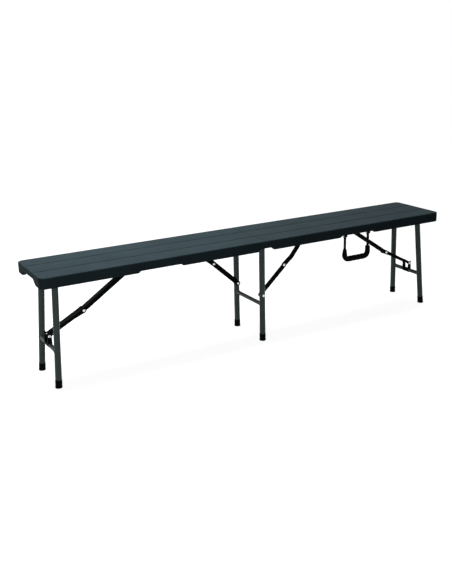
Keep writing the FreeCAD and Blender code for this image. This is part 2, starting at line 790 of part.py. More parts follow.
def handle_path(radius, rise, corner):
    """A round bar along the U of the handle, up to a height on both arms."""
    left = handle_middle - handle_half_span
    right = handle_middle + handle_half_span
    y = -half_width + handle_pivot_inset
    z = handle_bottom + handle_grip_radius
    slant = corner * (1 - math.sqrt(0.5))
    arm_left = Vector(left, y, z + corner)
    base_left = Vector(left + corner, y, z)
    base_right = Vector(right - corner, y, z)
    arm_right = Vector(right, y, z + corner)
    edges = [
        Part.LineSegment(Vector(left, y, rise), arm_left),
        Part.Arc(arm_left, Vector(left + slant, y, z + slant), base_left),
        Part.LineSegment(base_left, base_right),
        Part.Arc(base_right, Vector(right - slant, y, z + slant), arm_right),
        Part.LineSegment(arm_right, Vector(right, y, rise)),
    ]
    path = Part.Wire([edge.toShape() for edge in edges])
    ring = Part.Wire(Part.makeCircle(radius, Vector(left, y, rise), Vector(0, 0, -1)))
    return path.makePipeShell([ring], True, True)


def carry_handle():
    """The wire bail with its moulded grip, its pins and the brackets inside the front skirt."""
    y = -half_width + handle_pivot_inset
    z = skirt_bottom
    wall_y = -skirt_inner_y
    plate_y = wall_y + handle_bracket_thickness
    bail = handle_path(handle_rod_radius, z, handle_corner_radius)
    eyes = []
    brackets = []
    pins = []
    screws = []
    eye_half = handle_rod_radius + handle_eye_spare
    ear_inner = eye_half + side_clearance
    ear_outer = ear_inner + handle_bracket_thickness
    plate_low = skirt_bottom + handle_slot_rise + handle_bracket_gap
    plate_high = plate_low + handle_bracket_height
    ear_outline = [
        (wall_y, plate_low),
        (y - handle_rod_radius, z),
        (y + handle_eye_radius, z),
        (y + handle_eye_radius, plate_low),
        (plate_y, plate_high),
        (wall_y, plate_high),
    ]
    for end in (-1, 1):
        x = handle_middle + end * handle_half_span
        eyes.append(round_x(y, z, handle_eye_radius, x - eye_half, x + eye_half))
        ears = []
        for ear in (-1, 1):
            x0 = min(x + ear * ear_inner, x + ear * ear_outer)
            x1 = max(x + ear * ear_inner, x + ear * ear_outer)
            ears.append(joined([
                round_x(y, z, handle_eye_radius, x0, x1),
                plate_yz(ear_outline, x0, x1),
            ]))
        plate = box(x - handle_bracket_half, x + handle_bracket_half, wall_y, plate_y, plate_low, plate_high)
        bracket = joined(ears + [plate]).cut(round_x(y, z, handle_pin_radius, x - far, x + far))
        for hole in (-1, 1):
            screw_x = x + hole * (ear_outer + handle_bracket_half) / 2
            screw_z = (plate_low + plate_high) / 2
            bracket = bracket.cut(round_y(screw_x, screw_z, screw_radius, -half_width, y))
            screws.append(panel_screw(screw_x, plate_y, screw_z, Vector(0, -1, 0)))
        brackets.append(bracket)
        pins.append(round_x(y, z, handle_pin_radius, x - ear_outer - pin_spare, x + ear_outer + pin_spare))
    bore = round_x(y, z, handle_pin_radius + pivot_clearance, 0, half_length)
    keep("handle_bail", joined([bail] + eyes).cut(bore))
    grip_top = handle_bottom + handle_grip_radius + handle_corner_radius + handle_grip_rise
    grip = handle_path(handle_grip_radius, grip_top, handle_corner_radius)
    keep("handle_grip", grip.cut(handle_path(handle_rod_radius, z, handle_corner_radius)))
    keep("handle_brackets", brackets)
    keep("handle_pins", pins)
    return screws


def build():
    """Make every node, the panels last because the screws say where their holes are."""
    middle_frame()
    brackets, pins, screws = hinge_brackets()
    saddles, saddle_screws = axle_saddles()
    screws = screws + saddle_screws
    screws = screws + end_stay("right", same)
    end_stay("left", half_turn)
    screws = screws + middle_stay("right", same)
    middle_stay("left", half_turn)
    end_frame("right_end", same)
    end_frame("left_end", half_turn)
    left_panel = drilled(seat_panel(), panel_holes)
    shared_holes = len(panel_holes)
    handle_screws = carry_handle()
    keep("right_seat_panel", drilled(left_panel, panel_holes[shared_holes:]))
    keep("left_seat_panel", half_turn(left_panel))
    for prefix, place in (("right", same), ("left", half_turn)):
        keep(prefix + "_hinge_brackets", [place(shape) for shape in brackets])
        keep(prefix + "_hinge_pins", [place(shape) for shape in pins])
        keep(prefix + "_axle_saddles", [place(shape) for shape in saddles])
        extra = handle_screws if place is same else []
        keep(prefix + "_panel_screws", [place(shape) for shape in screws + extra])


def report():
    """Print the pivots and the turning ratios that the joints use."""
    stay_turn = bearing(stay_top, stay_elbow_folded) - bearing(stay_top, stay_elbow)
    lower_turn = bearing(stay_elbow_folded, stay_foot_folded) - bearing(stay_elbow, stay_foot) - stay_turn
    mid_lower_turn = bearing(mid_foot, mid_elbow_folded) - bearing(mid_foot, mid_elbow)
    mid_upper_turn = bearing(mid_top_folded, mid_elbow_folded) - bearing(mid_top, mid_elbow) + 90
    pivots = {"fold": fold_pivot, "leg": leg_pivot, "stay foot": stay_foot, "stay elbow": stay_elbow,
              "stay top": stay_top, "middle foot": mid_foot, "middle elbow": mid_elbow, "middle top": mid_top}
    for label, point in pivots.items():
        print(label, round(point[0], 7), round(point[1], 7))
    turns = {"leg": leg_fold_angle, "stay upper": -stay_turn, "stay lower": -lower_turn,
             "middle lower": -mid_lower_turn, "middle upper": -mid_upper_turn}
    for label, turn in turns.items():
        turn = turn % 360
        print(label, "turn", round(turn, 4), "ratio", round(turn / 90, 6), "or", round((turn - 360) / 90, 6))


build()
report()
os.makedirs("parts", exist_ok=True)
for name in sorted(nodes):
    solids = nodes[name]
    shape = solids[0] if len(solids) == 1 else Part.makeCompound(solids)
    shape.exportStep(os.path.join("parts", name + ".step"))
    count = len(shape.Solids)
    print(name, count, "valid" if shape.isValid() else "NOT VALID", round(shape.Volume / 1000, 1))
print(len(nodes), "nodes")
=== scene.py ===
import json
import math

import bmesh
import bpy
from mathutils import Matrix, Vector


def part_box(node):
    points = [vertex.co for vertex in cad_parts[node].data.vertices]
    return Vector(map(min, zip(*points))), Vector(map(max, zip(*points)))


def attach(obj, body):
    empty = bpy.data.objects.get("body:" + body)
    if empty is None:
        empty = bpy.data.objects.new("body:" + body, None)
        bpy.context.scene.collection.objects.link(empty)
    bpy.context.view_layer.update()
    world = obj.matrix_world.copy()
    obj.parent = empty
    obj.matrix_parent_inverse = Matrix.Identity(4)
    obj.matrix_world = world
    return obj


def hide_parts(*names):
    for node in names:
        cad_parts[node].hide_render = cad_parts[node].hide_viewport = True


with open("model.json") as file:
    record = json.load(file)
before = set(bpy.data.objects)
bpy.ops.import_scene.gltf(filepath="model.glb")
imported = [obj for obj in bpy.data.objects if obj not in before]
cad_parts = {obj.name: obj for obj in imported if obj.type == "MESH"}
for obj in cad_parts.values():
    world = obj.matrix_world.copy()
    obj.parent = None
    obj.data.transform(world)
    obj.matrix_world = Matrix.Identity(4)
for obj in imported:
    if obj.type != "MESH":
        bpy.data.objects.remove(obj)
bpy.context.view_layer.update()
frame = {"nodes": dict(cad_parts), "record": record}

# The looks of a folding bench: two moulded seat halves, powder-coated legs and stays, black feet and
# a carry handle. Metres. X runs along the bench, the front with the handle faces -Y, and Z is up.
MM = 0.001

# Camera, fitted to the photograph. The offset in pixels is from the picture's middle to the optical axis.
IMAGE_HEIGHT = 584
FOCAL_PIXELS = 814.0
VIEW_CENTRE_OFFSET = 12.9
SENSOR = 36.0
CAMERA_PLACE = Vector((-1.66667, -2.77174, 1.23302))
CAMERA_YAW = math.radians(30.263)
CAMERA_PITCH = math.radians(-18.002)
CAMERA_ROLL = math.radians(-1.0956)
VIEW_DEPTH = 50.0

# Seat half
SEAT_LOW, SEAT_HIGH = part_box("right_seat_panel")
SEAT_MIDDLE = (SEAT_LOW.x + SEAT_HIGH.x) / 2
SKIRT_WALL = 14 * MM
DECK = 15 * MM
UNDERSIDE = SEAT_HIGH.z - DECK
CORNER_RADIUS = 22 * MM
CORNER_X = SEAT_HIGH.x - CORNER_RADIUS
CORNER_Y = SEAT_HIGH.y - CORNER_RADIUS
TOP_EDGE = 4 * MM
SKIRT_EDGE = 3 * MM
INNER_EDGE = 2 * MM
SEAM_EDGE = 3 * MM

# Planks and the lines between them
PLANK_LINE_Y = 47 * MM
PLANK_LINE_HALF = 2.4 * MM
PLANK_LINE_DEPTH = 3.8 * MM
PLANK_LINE_FULLNESS = 0.7
PLANK_CROWN = 0.35 * MM

# Cut-outs in the lower edge of the skirt
SLOT_HALF = 82 * MM
SLOT_RISE = 7 * MM
SLOT_SLANT = 9 * MM
NOTCH_LENGTH = 25 * MM
NOTCH_RISE = 11 * MM
NOTCH_SLANT = 13 * MM
ARCH_HALF = 52 * MM
ARCH_RISE = 19 * MM
ARCH_SLANT = 26 * MM
EASING = 5 * MM

# Channel for the end stay in the deck's underside
CHANNEL_START = 438 * MM
CHANNEL_END = 792 * MM
CHANNEL_HALF = 20 * MM
CHANNEL_DEPTH = 6 * MM
CHANNEL_DRAFT = 1 * MM

# Tack-offs, the cones that join the deck's two walls
TACK_PITCH = 50 * MM
TACK_ROWS = (-1.5, -0.5, 0.5, 1.5)
TACK_SEAM_GAP = 2.2 * TACK_PITCH
TACK_END_GAP = 2.6 * TACK_PITCH
TACK_CELL = 22 * MM
TACK_RADIUS = 7.5 * MM
TACK_DEPTH = 9 * MM
TACK_TIP = 3.2 * MM
TACK_LIP_WIDTH = 0.7 * MM
TACK_LIP_HEIGHT = 0.6 * MM
TACK_TIP_BEVEL = 0.6 * MM
TACK_TIP_HEIGHT = 0.8 * MM
STAY_BRACKET_X = 204 * MM
STAY_BRACKET_REACH = 36 * MM

# How finely the seat is divided
CORNER_STEPS = 10
EDGE_STEPS = 5
SEAM_SHARES = (0, 0.08, 0.3, 0.6, 1)
PLANK_LINE_SHARES = (-1, -0.6, -0.2, 0.2, 0.6, 1)
CROWN_LINE_Y = 23 * MM
CUT_OUT_PITCH = 1.5 * MM
ARCH_PITCH = 3 * MM
LEAST_GAP = 0.1 * MM
EASING_SAMPLES = 8
TACK_SIDES = 16

# Legs and feet. A foot's outline is radius and height in millimetres, from its lip down to its sole.
TUBE_RADIUS = 12 * MM
END_PIVOT = Vector((845 * MM, 76.6 * MM, 397 * MM))
END_SOLE = Vector((871 * MM, 97.2 * MM, 0))
MIDDLE_SOLE = Vector((0, 103 * MM, 0))
MIDDLE_TOP = MIDDLE_SOLE + Vector((0, 0, END_PIVOT.z))
X_SIGNS = {"left_end": -1, "right_end": 1, "middle": 1}
Y_SIGNS = {"front": -1, "back": 1}
FOOT_LIP = ((11.9, 30.0), (12.7, 29.9), (13.1, 29.3), (13.15, 28.3), (12.8, 27.5), (12.6, 26.6))
FOOT_BEAD = ((12.6, 21.0), (12.75, 20.4), (13.05, 19.8), (13.05, 18.8), (12.75, 18.2), (12.65, 17.4))
FOOT_FLARE = ((12.7, 10.0), (12.9, 7.0), (13.25, 5.0), (13.4, 3.6))
FOOT_ROUND = ((13.4, 2.2), (13.1, 1.0), (12.4, 0.3), (11.2, 0.0))
FOOT_BORE = 11.8 * MM
FOOT_MOUTH = 29.4 * MM
FOOT_FLOOR = 4 * MM
FOOT_LEVELLED = 8 * MM
FOOT_SIDES = 48

# Weld beads at the ends of the crossbars
CROSSBAR_RADIUS = 8.5 * MM
WELD_RADIUS = 1.8 * MM
WELD_RIPPLES = 14
WELD_RIPPLE = 0.12
WELD_STATIONS = 56
WELD_SIDES = 10
WELD_SEARCH_STEPS = 24

# Handle
GRIP_RADIUS = 12.5 * MM
GRIP_SWELL = 0.8 * MM
GRIP_SWELLS = 4
GRIP_TAPER = 1.5 * MM
GRIP_CORNER = 20 * MM
GRIP_RISE = 24 * MM
GRIP_LIP = 2.5 * MM
HANDLE_HALF_SPAN = 61.5 * MM
GRIP_BAR_HALF = HANDLE_HALF_SPAN - GRIP_CORNER
GRIP_SIDES = 28
GRIP_CORNER_STEPS = 16
GRIP_BAR_PITCH = 1.5 * MM
GRIP_ARM_PITCH = 1 * MM

# Rounded edges of the steel parts, and angles between faces above which an edge is kept or counts as sharp
BEND_RADIUS = 2.4 * MM
BEND_SEGMENTS = 5
BEND_LEAST_LENGTH = 20 * MM
BEND_UPWARD = 0.5
PLATE_EDGE = 0.5 * MM
PLATE_SEGMENTS = 2
TOUCHING = 0.05 * MM
SAME_POINT = 0.005 * MM
FLAT_DEGREES = 0.5
PLATE_DEGREES = 30.0
SEAT_DEGREES = 40.0
FORMED_DEGREES = 50.0
WELD_DEGREES = 60.0
CHANNEL_NODES = ("_end_stay_lower", "_end_stay_upper")
BAR_NODES = ("_middle_stay_lower", "_middle_stay_upper", "_top_bar")
PLATE_NODES = ("_bracket", "_brackets", "_plate", "_saddles")

# Studio. A lamp is its name, place, target, width and height, and power in watts.
WORLD_LIGHT = 0.02
FLOOR_HALF = 30.0
FLOOR_LIT = 0.1
FLOOR_SEEN = 0.9
FLOOR_GLOW_NEAR = 0.93
FLOOR_NEAR = 1.0
FLOOR_FAR = 4.0
LAMPS = (
    ("overhead left", (-0.72, 0.35, 1.9), (-0.8, 0, 0.4), (0.6, 1.0), 20),
    ("overhead right", (0.9, 0.3, 2.2), (0.8, 0, 0.4), (1.0, 1.0), 6.5),
    ("front left", (-1.75, -2.45, 0.85), (-0.5, 0, 0.25), (0.4, 1.6), 9),
)

# A noise texture's factor mostly lies between these two.
NOISE_LOW = 0.3
NOISE_HIGH = 0.7

BODY_OF = {node: body for body, nodes in frame["record"]["behaviour"]["bodies"].items() for node in nodes}


# Pieces
def new_piece(name, bm):
    """A mesh object in the scene, made from a bmesh, with outward normals."""
    bmesh.ops.recalc_face_normals(bm, faces=bm.faces)
    mesh = bpy.data.meshes.new(name)
    bm.to_mesh(mesh)
    bm.free()
    piece = bpy.data.objects.new(name, mesh)
    bpy.context.scene.collection.objects.link(piece)
    return piece


def applied(piece):
    """The piece with its modifiers made part of its mesh."""
    graph = bpy.context.evaluated_depsgraph_get()
    graph.update()
    result = piece.evaluated_get(graph)
    mesh = bpy.data.meshes.new_from_object(result, preserve_all_data_layers=True, depsgraph=graph)
    piece.modifiers.clear()
    piece.data = mesh
    return piece


def shaded(piece, sharp_degrees):
    """Smooth shading with sharp edges above an angle, and flat faces kept flat."""
    bm = bmesh.new()
    bm.from_mesh(piece.data)
    limit = math.radians(sharp_degrees)
    for face in bm.faces:
        face.smooth = True
    for edge in bm.edges:
        edge.smooth = edge.calc_face_angle(0.0) < limit
    bm.to_mesh(piece.data)
    bm.free()
    weighted = piece.modifiers.new("weighted normals", "WEIGHTED_NORMAL")
    weighted.keep_sharp = True
    return applied(piece)


def placed(piece, body, nodes, material):
    """Give a finished piece its body, the nodes it stands for and its material."""
    piece.data.materials.clear()
    piece.data.materials.append(material)
    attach(piece, body)
    if nodes:
        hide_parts(*nodes)


def ring_of(bm, centre, first, second, radius, sides):
    """A ring of vertices round a point, in the plane of two directions at right angles."""
    ring = []
    for number in range(sides):
        angle = 2 * math.pi * number / sides
        way = first * math.cos(angle) + second * math.sin(angle)
        ring.append(bm.verts.new(centre + way * radius))
    return ring


def bridged(bm, rows, closed):
    """Faces between each row of vertices and the next. A closed row runs on from its end to its start."""
    count = len(rows[0])
    for first, second in zip(rows, rows[1:]):
        for number in range(count if closed else count - 1):
            following = (number + 1) % count
            bm.faces.new((first[number], first[following], second[following], second[number]))


def steps(low, high, pitch):
    """Evenly spaced values from a low end to a high end, both included."""
    count = max(1, round((high - low) / pitch))
    return [low + (high - low) * number / count for number in range(count + 1)]


# Materials
def texture_space(tree, scale=(1, 1, 1)):
    """Object coordinates times a scale."""
    place = tree.nodes.new("ShaderNodeTexCoord")
    stretch = tree.nodes.new("ShaderNodeMapping")
    stretch.inputs["Scale"].default_value = scale
    tree.links.new(place.outputs["Object"], stretch.inputs["Vector"])
    return stretch.outputs["Vector"]


def noise(tree, vector, scale, detail, roughness):
    """A noise texture's factor."""
    node = tree.nodes.new("ShaderNodeTexNoise")
    node.inputs["Scale"].default_value = scale
    node.inputs["Detail"].default_value = detail
    node.inputs["Roughness"].default_value = roughness
    tree.links.new(vector, node.inputs["Vector"])
    return node.outputs["Fac"]


def ramp(tree, factor, stops):
    """A colour ramp through (position, colour) stops."""
    node = tree.nodes.new("ShaderNodeValToRGB")
    elements = node.color_ramp.elements
    while len(elements) < len(stops):
        elements.new(0.5)
    for element, (position, colour) in zip(elements, stops):
        element.position = position
        element.color = (*colour, 1.0)
    tree.links.new(factor, node.inputs["Fac"])
    return node.outputs["Color"]


def spread(tree, factor, low, high):
    """A noise factor spread over another range."""
    node = tree.nodes.new("ShaderNodeMapRange")
    node.inputs["From Min"].default_value = NOISE_LOW
    node.inputs["From Max"].default_value = NOISE_HIGH
    node.inputs["To Min"].default_value = low
    node.inputs["To Max"].default_value = high
    tree.links.new(factor, node.inputs["Value"])
    return node.outputs["Result"]


def bump(tree, height, strength, distance, below=None):
    """A bump, on top of another one if there is one below."""
    node = tree.nodes.new("ShaderNodeBump")
    node.inputs["Strength"].default_value = strength
    node.inputs["Distance"].default_value = distance
    tree.links.new(height, node.inputs["Height"])
    if below is not None:
        tree.links.new(below, node.inputs["Normal"])
    return node.outputs["Normal"]


def scaled(colour, factor):
    """A colour made darker or lighter."""
    return tuple(channel * factor for channel in colour)


def surface(name, specular, metallic=0.0):
    """A new material, its node tree and its principled shader."""
    material = bpy.data.materials.new(name)
    material.use_nodes = True
    shader = material.node_tree.nodes["Principled BSDF"]
    shader.inputs["Specular IOR Level"].default_value = specular
    shader.inputs["Metallic"].default_value = metallic
    return material, material.node_tree, shader


def moulded_plastic(name, colour, roughness, specular, grain):
    """Moulded plastic: a fine pebble grain, slow colour drift, faint scuffs that run along the bench."""
    material, tree, shader = surface(name, specular)
    space = texture_space(tree)
    drift = noise(tree, space, scale=7, detail=3, roughness=0.5)
    stops = [(NOISE_LOW, scaled(colour, 0.9)), (NOISE_HIGH, scaled(colour, 1.1))]
    tree.links.new(ramp(tree, drift, stops), shader.inputs["Base Color"])
    scuffs = noise(tree, texture_space(tree, scale=(3, 40, 40)), scale=6, detail=4, roughness=0.6)
    satin = spread(tree, scuffs, low=roughness - 0.05, high=roughness + 0.07)
    tree.links.new(satin, shader.inputs["Roughness"])
    pebble = tree.nodes.new("ShaderNodeTexVoronoi")
    pebble.feature = "SMOOTH_F1"
    pebble.inputs["Scale"].default_value = 1 / grain
    tree.links.new(space, pebble.inputs["Vector"])
    fine = bump(tree, pebble.outputs["Distance"], strength=0.25, distance=0.1 * MM)
    wave = noise(tree, space, scale=22, detail=2, roughness=0.5)
    broad = bump(tree, wave, strength=0.12, distance=0.6 * MM, below=fine)
    tree.links.new(broad, shader.inputs["Normal"])
    return material


def powder_coat(name, colour, roughness, specular):
    """Powder-coated steel: orange peel under a satin film, with a little dust of lighter specks."""
    material, tree, shader = surface(name, specular)
    space = texture_space(tree)
    drift = noise(tree, space, scale=30, detail=4, roughness=0.6)
    stops = [(0.3, scaled(colour, 0.86)), (0.55, colour), (0.75, scaled(colour, 1.18))]
    tree.links.new(ramp(tree, drift, stops), shader.inputs["Base Color"])
    patches = noise(tree, space, scale=90, detail=3, roughness=0.5)
    satin = spread(tree, patches, low=roughness - 0.04, high=roughness + 0.06)
    tree.links.new(satin, shader.inputs["Roughness"])
    peel = noise(tree, space, scale=900, detail=2, roughness=0.5)
    tree.links.new(bump(tree, peel, strength=0.2, distance=0.08 * MM), shader.inputs["Normal"])
    return material


def zinc_plate(name, colour):
    """Bright zinc plate on rivets and screws: small bright scratches on grey metal."""
    material, tree, shader = surface(name, specular=0.5, metallic=1.0)
    drift = noise(tree, texture_space(tree), scale=220, detail=4, roughness=0.65)
    stops = [(NOISE_LOW, scaled(colour, 0.72)), (NOISE_HIGH, colour)]
    tree.links.new(ramp(tree, drift, stops), shader.inputs["Base Color"])
    worn = noise(tree, texture_space(tree, scale=(900, 300, 300)), scale=1, detail=3, roughness=0.6)
    tree.links.new(spread(tree, worn, low=0.22, high=0.42), shader.inputs["Roughness"])
    tree.links.new(bump(tree, worn, strength=0.15, distance=0.05 * MM), shader.inputs["Normal"])
    return material


SEAT = moulded_plastic("seat_plastic", (0.046, 0.073, 0.085), roughness=0.55, specular=0.012, grain=1.1 * MM)
# Painted light: the legs' and brackets' base colour is lighter than their own dark anthracite paint, so the
# tubes look brightly lit.
FRAME_WITH_PAINTED_LIGHT = powder_coat("frame_paint", (0.120, 0.170, 0.168), roughness=0.34, specular=0.15)
STAY = powder_coat("stay_paint", (0.008, 0.012, 0.012), roughness=0.34, specular=0.012)
FOOT = moulded_plastic("foot_plastic", (0.007, 0.010, 0.011), roughness=0.5, specular=0.02, grain=0.9 * MM)
GRIP = moulded_plastic("handle_plastic", (0.006, 0.009, 0.009), roughness=0.5, specular=0.02, grain=0.8 * MM)
ZINC = zinc_plate("zinc", (0.72, 0.74, 0.75))


# Seat halves
def eased(distance, slant, rise):
    """Rise of a cut-out's edge at a distance inside its lower corner, rounded at both corners."""
    soft = EASING / slant / 2
    total = 0.0
    for number in range(EASING_SAMPLES):
        share = distance / slant + soft * (2 * (number + 0.5) / EASING_SAMPLES - 1)
        total += min(max(share, 0.0), 1.0)
    return rise * total / EASING_SAMPLES


def long_side_rise(x):
    """How far the lower edge of the front and back skirts rises at an X."""
    slot = eased(SLOT_HALF + SLOT_SLANT - abs(x - SEAT_MIDDLE), SLOT_SLANT, SLOT_RISE)
    notch = eased(NOTCH_LENGTH + NOTCH_SLANT - x, NOTCH_SLANT, NOTCH_RISE)
    return max(slot, notch)


def end_rise(y):
    """How far the lower edge of the end skirt rises at a Y."""
    return eased(ARCH_HALF + ARCH_SLANT - abs(y), ARCH_SLANT, ARCH_RISE)


def seam_drop(x):
    """How far the rounded arris at the seam lies below the surface at an X."""
    reach = x - SEAT_LOW.x
    if reach >= SEAM_EDGE:
        return 0.0
    return SEAM_EDGE - math.sqrt(SEAM_EDGE ** 2 - (SEAM_EDGE - reach) ** 2)


def plank_drop(y):
    """How far the top lies below its highest level at a Y: the plank lines and each plank's low crown."""
    beside = abs(abs(y) - PLANK_LINE_Y)
    line = 0.0
    if beside < PLANK_LINE_HALF:
        line = PLANK_LINE_DEPTH * math.cos(math.pi / 2 * beside / PLANK_LINE_HALF) ** PLANK_LINE_FULLNESS
    share = min(abs(y), abs(2 * PLANK_LINE_Y - abs(y))) / PLANK_LINE_Y
    return line + PLANK_CROWN * share ** 2


def top_height(x, y):
    """Height of the top face."""
    return SEAT_HIGH.z - seam_drop(x) - plank_drop(y)


def under_height(x, y):
    """Height of the deck's underside, which is higher in the channel."""
    in_length = CHANNEL_START + CHANNEL_DRAFT / 2 < x < CHANNEL_END - CHANNEL_DRAFT / 2
    in_width = abs(y) < CHANNEL_HALF - CHANNEL_DRAFT / 2
    return UNDERSIDE + (CHANNEL_DEPTH if in_length and in_width else 0.0)


def tack_centres():
    """Centres of the tack-offs, clear of the channel and of the middle stay's bracket."""
    start = SEAT_LOW.x + TACK_SEAM_GAP
    end = SEAT_HIGH.x - TACK_END_GAP
    centres = []
    for column in range(int((end - start) / TACK_PITCH) + 1):
        x = start + column * TACK_PITCH
        beside_channel = CHANNEL_START - TACK_CELL < x < CHANNEL_END + TACK_CELL
        beside_bracket = abs(x - STAY_BRACKET_X) < STAY_BRACKET_REACH
        for row in TACK_ROWS:
            y = row * TACK_PITCH
            in_channel = beside_channel and abs(y) < CHANNEL_HALF + TACK_CELL / 2
            at_bracket = beside_bracket and y < -TACK_PITCH
            if not in_channel and not at_bracket:
                centres.append((x, y))
    return centres


def merged_lines(values, limit):
    """Sorted grid lines up to a limit, without near duplicates."""
    lines = []
    for value in sorted(values):
        if abs(value) <= limit and (not lines or value - lines[-1] > LEAST_GAP):
            lines.append(value)
    return lines


def seat_lines(centres):
    """Grid lines of a half along X and across Y."""
    along = [SEAT_LOW.x + SEAM_EDGE * share for share in SEAM_SHARES]
    along += steps(NOTCH_LENGTH - EASING, NOTCH_LENGTH + NOTCH_SLANT + EASING, CUT_OUT_PITCH)
    along += [CHANNEL_START, CHANNEL_START + CHANNEL_DRAFT]
    along += [CHANNEL_END - CHANNEL_DRAFT, CHANNEL_END, CORNER_X]
    across = []
    for side in (-1, 1):
        slot_start = SEAT_MIDDLE + side * (SLOT_HALF + SLOT_SLANT / 2) - SLOT_SLANT
        along += steps(slot_start, slot_start + 2 * SLOT_SLANT, CUT_OUT_PITCH)
        across += [side * CHANNEL_HALF, side * (CHANNEL_HALF - CHANNEL_DRAFT)]
        across += [side * PLANK_LINE_Y + PLANK_LINE_HALF * share for share in PLANK_LINE_SHARES]
        across += [side * CORNER_Y, side * CROWN_LINE_Y]
        arch_start = side * (ARCH_HALF + ARCH_SLANT / 2) - ARCH_SLANT / 2 - EASING
        across += steps(arch_start, arch_start + ARCH_SLANT + 2 * EASING, ARCH_PITCH)
    for x, y in centres:
        along += [x - TACK_CELL / 2, x + TACK_CELL / 2]
        across += [y - TACK_CELL / 2, y + TACK_CELL / 2]
    return merged_lines(along, CORNER_X), merged_lines(across, CORNER_Y)


def quarter_arc(inset, height, radius, start, turn=1):
    """Points of a quarter circle round an (inset, height) centre, from a start angle in quarter turns."""
    angles = [math.pi / 2 * (start + turn * number / EDGE_STEPS) for number in range(EDGE_STEPS + 1)]
    return [(inset + radius * math.cos(angle), height + radius * math.sin(angle)) for angle in angles]


def skirt_profile(low, drop):
    """The skirt's section from the top face round the bottom to the deck's underside: (inset, height)."""
    points = quarter_arc(TOP_EDGE + drop, SEAT_HIGH.z - drop - TOP_EDGE, TOP_EDGE, 1)
    points += quarter_arc(SKIRT_EDGE + drop, low + SKIRT_EDGE, SKIRT_EDGE, 2)
    points += quarter_arc(SKIRT_WALL - INNER_EDGE, low + INNER_EDGE, INNER_EDGE, 3)
    points += quarter_arc(SKIRT_WALL + INNER_EDGE, UNDERSIDE - INNER_EDGE, INNER_EDGE, 2, turn=-1)
    return points


def corner_stations(y, start):
    """Stations round a corner of the outline without its ends, from a start angle in quarter turns."""
    stations = []
    for number in range(1, CORNER_STEPS):
        angle = math.pi / 2 * (start + number / CORNER_STEPS)
        out = Vector((math.cos(angle), math.sin(angle)))
        stations.append((Vector((CORNER_X, y)) + out * CORNER_RADIUS, out, 0.0, 0.0))
    return stations


def skirt_stations(along, across):
    """Round the three outer sides of a half: (place on the outline, outward direction, rise, drop)."""
    front = []
    back = []
    for x in along:
        rise = long_side_rise(x)
        drop = seam_drop(x)
        front.append((Vector((x, SEAT_LOW.y)), Vector((0, -1)), rise, drop))
        back.append((Vector((x, SEAT_HIGH.y)), Vector((0, 1)), rise, drop))
    end = [(Vector((SEAT_HIGH.x, y)), Vector((1, 0)), end_rise(y), 0.0) for y in across]
    return front + corner_stations(-CORNER_Y, -1) + end + corner_stations(CORNER_Y, 0) + back[::-1]


def surface_grid(bm, along, across, height):
    """Vertices of a face inside the skirt, keyed by their grid lines."""
    grid = {}
    for i, x in enumerate(along):
        for j, y in enumerate(across):
            grid[i, j] = bm.verts.new((x, y, height(x, y)))
    return grid


def stitched(bm, grid, rim, columns, rows, skipped):
    """Fill a grid of vertices and join it to the rim that runs round its three outer sides."""
    for i in range(columns - 1):
        for j in range(rows - 1):
            if (i, j) not in skipped:
                bm.faces.new((grid[i, j], grid[i + 1, j], grid[i + 1, j + 1], grid[i, j + 1]))
    end_start = columns + CORNER_STEPS - 1
    end_stop = end_start + rows
    front = rim[:columns]
    end = rim[end_start:end_stop]
    back = rim[-columns:][::-1]
    for i in range(columns - 1):
        bm.faces.new((front[i], front[i + 1], grid[i + 1, 0], grid[i, 0]))
        bm.faces.new((grid[i, rows - 1], grid[i + 1, rows - 1], back[i + 1], back[i]))
    for j in range(rows - 1):
        bm.faces.new((grid[columns - 1, j], end[j], end[j + 1], grid[columns - 1, j + 1]))
    front_corner = rim[columns - 1:end_start + 1]
    back_corner = rim[end_stop - 1:len(rim) - columns + 1]
    for pivot, arc in ((grid[columns - 1, 0], front_corner), (grid[columns - 1, rows - 1], back_corner)):
        for first, second in zip(arc, arc[1:]):
            bm.faces.new((pivot, first, second))


def cell_lines(lines, centre):
    """Indices of the two grid lines that bound a tack-off's cell."""
    edges = (centre - TACK_CELL / 2, centre + TACK_CELL / 2)
    return [min(range(len(lines)), key=lambda number: abs(lines[number] - edge)) for edge in edges]


def cell_sides(grid, columns, rows):
    """The vertices along the four sides of a cell of the grid, in turn round it."""
    low_i, high_i = columns
    low_j, high_j = rows
    return (
        [grid[i, low_j] for i in range(low_i, high_i + 1)],
        [grid[high_i, j] for j in range(low_j, high_j + 1)],
        [grid[i, high_j] for i in range(high_i, low_i - 1, -1)],
        [grid[low_i, j] for j in range(high_j, low_j - 1, -1)],
    )


def tack_cone(bm, sides, centre):
    """A cone-shaped dimple inside a square cell of the underside, given by its four sides' vertices."""
    shape = (
        (TACK_RADIUS, 0.0),
        (TACK_RADIUS - TACK_LIP_WIDTH, TACK_LIP_HEIGHT),
        (TACK_TIP + TACK_TIP_BEVEL, TACK_DEPTH - TACK_TIP_HEIGHT),
        (TACK_TIP, TACK_DEPTH),
    )
    first = Vector((-1, -1, 0)).normalized()
    second = Vector((1, -1, 0)).normalized()
    rings = []
    for radius, rise in shape:
        place = Vector((*centre, UNDERSIDE + rise))
        rings.append(ring_of(bm, place, first, second, radius, TACK_SIDES))
    quarter = TACK_SIDES // len(sides)
    for number, side in enumerate(sides):
        arc = [rings[0][(number * quarter + k) % TACK_SIDES] for k in range(quarter + 1)]
        bm.faces.new(side + arc[::-1])
    bridged(bm, rings, closed=True)
    bm.faces.new(rings[-1])


